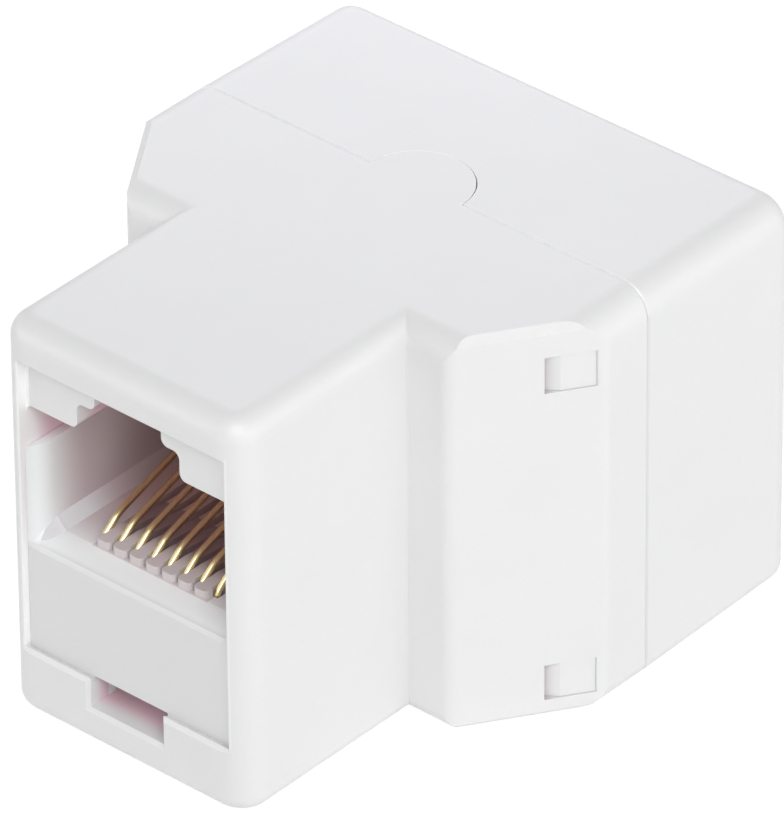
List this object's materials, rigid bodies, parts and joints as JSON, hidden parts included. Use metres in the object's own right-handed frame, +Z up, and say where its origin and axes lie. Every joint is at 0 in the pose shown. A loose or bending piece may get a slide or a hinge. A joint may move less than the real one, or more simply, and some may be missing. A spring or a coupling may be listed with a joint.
{
  "type": "ethernet splitter adapter",
  "caption": "White snap-together adapter whose narrow neck with a modular network socket widens over slanted shoulders to a body with side-by-side sockets at the back.",
  "frame": {"origin": "on the underside's plane, below the middle of the bounding box", "axes": "+X across to the right seen from the front socket, +Y from the front socket to the rear pair, +Z up"},
  "size_m": [0.0286, 0.0318, 0.022],
  "materials": {
    "shell": "white moulded plastic with a soft satin sheen",
    "carrier": "white moulded plastic, slightly duller than the shells",
    "contact": "bright gold-coloured plating on spring strip",
    "board": "green solder mask"
  },
  "bodies": {
    "root": {"front_housing": "shell", "rear_housing": "shell", "circuit_board": "board", "front_insert": "carrier", "rear_left_insert": "carrier", "rear_right_insert": "carrier", "front_contact_1": "contact", "front_contact_2": "contact", "front_contact_3": "contact", "front_contact_4": "contact", "front_contact_5": "contact", "front_contact_6": "contact", "front_contact_7": "contact", "front_contact_8": "contact", "rear_left_contact_1": "contact", "rear_left_contact_2": "contact", "rear_left_contact_3": "contact", "rear_left_contact_4": "contact", "rear_left_contact_5": "contact", "rear_left_contact_6": "contact", "rear_left_contact_7": "contact", "rear_left_contact_8": "contact", "rear_right_contact_1": "contact", "rear_right_contact_2": "contact", "rear_right_contact_3": "contact", "rear_right_contact_4": "contact", "rear_right_contact_5": "contact", "rear_right_contact_6": "contact", "rear_right_contact_7": "contact", "rear_right_contact_8": "contact"}
  },
  "joints": []
}
